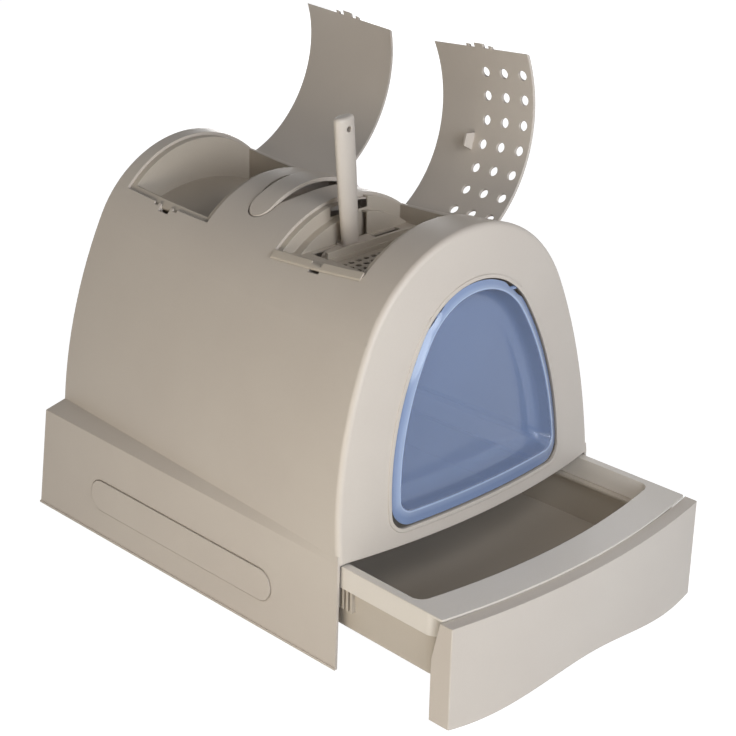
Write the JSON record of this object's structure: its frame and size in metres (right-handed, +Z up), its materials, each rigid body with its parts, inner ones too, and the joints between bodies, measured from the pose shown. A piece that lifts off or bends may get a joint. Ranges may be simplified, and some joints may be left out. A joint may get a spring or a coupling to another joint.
{
  "type": "covered litter box",
  "caption": "Vaulted covered litter box with a swinging clear flap, lidded top compartments, a carry handle, a scoop in its slot and a pull-out drawer.",
  "frame": {"origin": "middle of the hood's footprint on the floor", "axes": "+Z up, -Y out of the doorway and the drawer, X across"},
  "size_m": [0.402, 0.6915, 0.5772],
  "materials": {
    "hood_plastic": "fine satin moulding",
    "base_plastic": "fine satin moulding",
    "lid_plastic": "fine satin moulding",
    "inset_plastic": "fine satin moulding",
    "handle_plastic": "fine satin moulding",
    "scoop_plastic": "fine satin moulding",
    "tray_plastic": "fine satin moulding",
    "rim_plastic": "fine satin moulding",
    "panel_plastic": "fine satin moulding",
    "clear_flap": "clear, tinted blue",
    "filter_felt": "dark needled felt"
  },
  "bodies": {
    "housing": {"hood_shell": "hood_plastic", "base_pan": "base_plastic", "storage_tray": "inset_plastic", "scoop_tray": "inset_plastic", "filter_grille": "inset_plastic", "filter_pad": "filter_felt", "carry_handle": "handle_plastic"},
    "drawer": {"drawer_tray": "tray_plastic", "drawer_rim": "rim_plastic", "drawer_front": "panel_plastic"},
    "door": {"entry_door": "clear_flap"},
    "rear_lid": {"rear_lid": "lid_plastic"},
    "front_lid": {"front_lid": "lid_plastic"},
    "scoop": {"scoop": "scoop_plastic"}
  },
  "joints": [
    {"name": "drawer_slide", "type": "slide", "parent": "housing", "child": "drawer", "axis": [0, -1, 0], "range_m": [-0.13, 0.14]},
    {"name": "door_swing", "type": "hinge", "parent": "housing", "child": "door", "pos_m": [0, -0.25039, 0.355], "axis": [1, 0, 0], "range_deg": [-70, 48]},
    {"name": "rear_lid_hinge", "type": "hinge", "parent": "housing", "child": "rear_lid", "pos_m": [0.092, 0.12725, 0.39137], "axis": [0, 0.9986, 0.0535], "range_deg": [-116.5, 0]},
    {"name": "front_lid_hinge", "type": "hinge", "parent": "housing", "child": "front_lid", "pos_m": [0.092, -0.1245, 0.39376], "axis": [0, 0.9973, -0.0735], "range_deg": [-57, 0]},
    {"name": "scoop_lift", "type": "slide", "parent": "housing", "child": "scoop", "axis": [-0.0872, 0, 0.9962], "range_m": [0, 0.1]}
  ]
}
